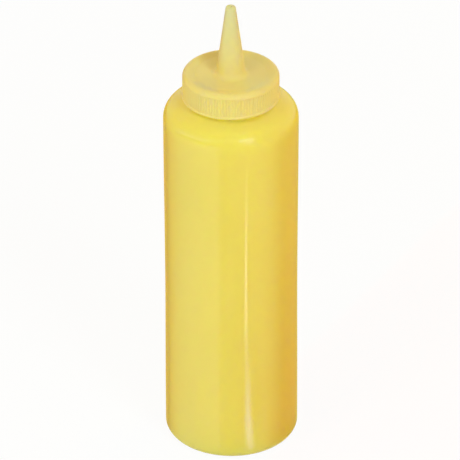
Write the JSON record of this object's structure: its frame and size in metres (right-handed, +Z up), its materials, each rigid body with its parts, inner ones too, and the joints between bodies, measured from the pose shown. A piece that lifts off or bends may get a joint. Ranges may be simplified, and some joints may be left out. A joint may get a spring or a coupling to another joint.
{
  "type": "squeeze bottle",
  "caption": "Tall round squeeze bottle for table sauce, with a rounded shoulder and heel and a ribbed screw cap that rises to a long cone nozzle.",
  "frame": {"origin": "centre of the face that the bottle stands on", "axes": "+Z up along the bottle's axis, from the base to the nozzle's tip"},
  "size_m": [0.057, 0.057, 0.2074],
  "materials": {
    "bottle": "glossy blow-moulded soft plastic, yellow",
    "cap": "satin injection-moulded plastic, paler yellow"
  },
  "bodies": {
    "root": {"bottle": "bottle", "cap": "cap"}
  },
  "joints": []
}
